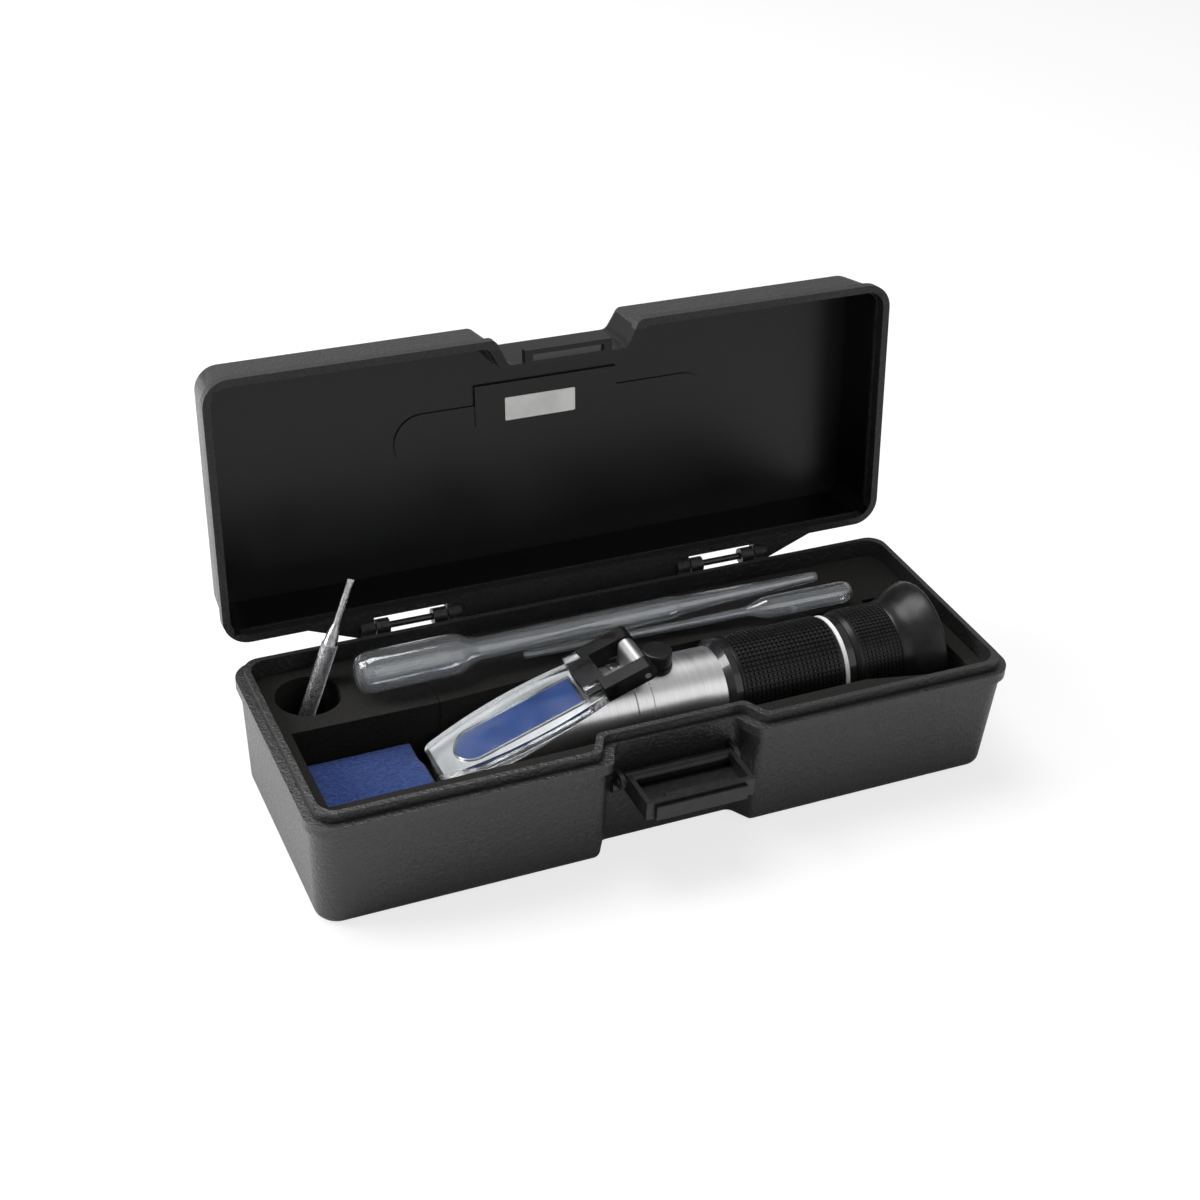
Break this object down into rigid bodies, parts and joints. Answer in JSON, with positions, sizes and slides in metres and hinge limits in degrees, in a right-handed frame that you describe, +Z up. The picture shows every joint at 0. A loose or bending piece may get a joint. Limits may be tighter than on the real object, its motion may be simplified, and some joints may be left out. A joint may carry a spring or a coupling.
{
  "type": "handheld refractometer in case",
  "caption": "Handheld optical refractometer with hinged cover plate and focus ring, in a foam-lined case with hinged lid, latch, pipettes, screwdriver and cloth.",
  "frame": {"origin": "centre of the case's underside", "axes": "+X along the case and the instrument's axis towards the eyepiece, +Y towards the lid hinge, +Z up"},
  "size_m": [0.205, 0.1179, 0.114],
  "materials": {
    "case_plastic": "fine textured, dark grey",
    "latch_plastic": "fine textured, near black",
    "pin_steel": "bright drawn wire",
    "label_film": "plain white film, bare",
    "foam": "matt closed-cell foam",
    "satin_metal": "satin plated",
    "black_metal": "semi-gloss black anodised",
    "prism_glass": "polished, looks blue",
    "lens_glass": "polished",
    "black_rubber": "soft, matt",
    "black_plastic": "smooth, semi-gloss",
    "white_plastic": "smooth, white",
    "clear_plastic": "clear moulded acrylic",
    "bracket_steel": "brushed sheet",
    "brass_cell": "turned",
    "milky_plastic": "translucent soft plastic",
    "driver_steel": "nickel plated",
    "cloth": "blue microfibre"
  },
  "bodies": {
    "case": {"case_base": "case_plastic", "latch_pin": "pin_steel", "foam_insert": "foam", "pipette_large": "milky_plastic", "pipette_small": "milky_plastic", "cleaning_cloth": "cloth"},
    "lid": {"case_lid": "case_plastic", "hinge_pin_left": "pin_steel", "hinge_pin_right": "pin_steel", "lid_label": "label_film"},
    "latch": {"case_latch": "latch_plastic"},
    "instrument": {"prism_head": "satin_metal", "main_prism": "prism_glass", "prism_seal": "black_rubber", "prism_clamp": "black_metal", "body_tube": "satin_metal", "lens_cell": "brass_cell", "objective_lens": "lens_glass", "cell_spring": "pin_steel", "reticle_ring": "black_metal", "reticle": "lens_glass", "front_collar": "black_metal", "inner_barrel": "black_metal", "grip_sleeve": "black_rubber", "white_ring": "white_plastic", "hinge_bracket": "bracket_steel", "bracket_screws": "pin_steel", "pin_sleeve": "black_plastic"},
    "cover": {"cover_plate": "clear_plastic", "hinge_block": "black_plastic", "plate_hinge_pin": "pin_steel"},
    "cap": {"calibration_cap": "black_rubber"},
    "screw": {"calibration_screw": "pin_steel"},
    "eyepiece": {"lens_tube": "black_metal", "field_lens": "lens_glass", "eye_lens": "lens_glass", "lens_spacer": "black_metal", "lens_retainer": "black_metal"},
    "focus": {"focus_ring": "black_rubber", "eyecup": "black_rubber"},
    "screwdriver": {"screwdriver_handle": "driver_steel", "screwdriver_blade": "driver_steel"}
  },
  "joints": [
    {"name": "lid_hinge", "type": "hinge", "parent": "case", "child": "lid", "pos_m": [0, 0.04156, 0.03487], "axis": [-1, 0, 0], "range_deg": [-96.96, 0]},
    {"name": "latch_hinge", "type": "hinge", "parent": "case", "child": "latch", "pos_m": [0, -0.0334, 0.024], "axis": [1, 0, 0], "range_deg": [-90, 0]},
    {"name": "instrument_lift", "type": "slide", "parent": "case", "child": "instrument", "axis": [0, 0, 1], "range_m": [0, 0.05]},
    {"name": "cover_plate_hinge", "type": "hinge", "parent": "instrument", "child": "cover", "pos_m": [-0.0025, -0.0071, 0.0436], "axis": [0, 1, 0], "range_deg": [0, 105]},
    {"name": "cap_pull", "type": "slide", "parent": "instrument", "child": "cap", "axis": [0, 0, 1], "range_m": [0, 0.012]},
    {"name": "calibration_turn", "type": "hinge", "parent": "instrument", "child": "screw", "pos_m": [0.0047, -0.0071, 0.037], "axis": [0, 0, 1], "range_deg": [-180, 180]},
    {"name": "eyepiece_travel", "type": "slide", "parent": "instrument", "child": "eyepiece", "axis": [1, 0, 0], "range_m": [-0.001, 0.0015]},
    {"name": "focus_turn", "type": "hinge", "parent": "eyepiece", "child": "focus", "pos_m": [0.07, -0.0071, 0.0268], "axis": [1, 0, 0], "range_deg": [-120, 180]},
    {"name": "screwdriver_press", "type": "slide", "parent": "case", "child": "screwdriver", "axis": [0.3712, 0.1376, 0.9183], "range_m": [-0.01, 0]}
  ],
  "couplings": [
    {"joint": "focus_turn", "follows": "eyepiece_travel", "rad_per_m": 2094.4},
    {"joint": "screwdriver_press", "follows": "lid_hinge", "m_per_rad": 0.0059}
  ]
}
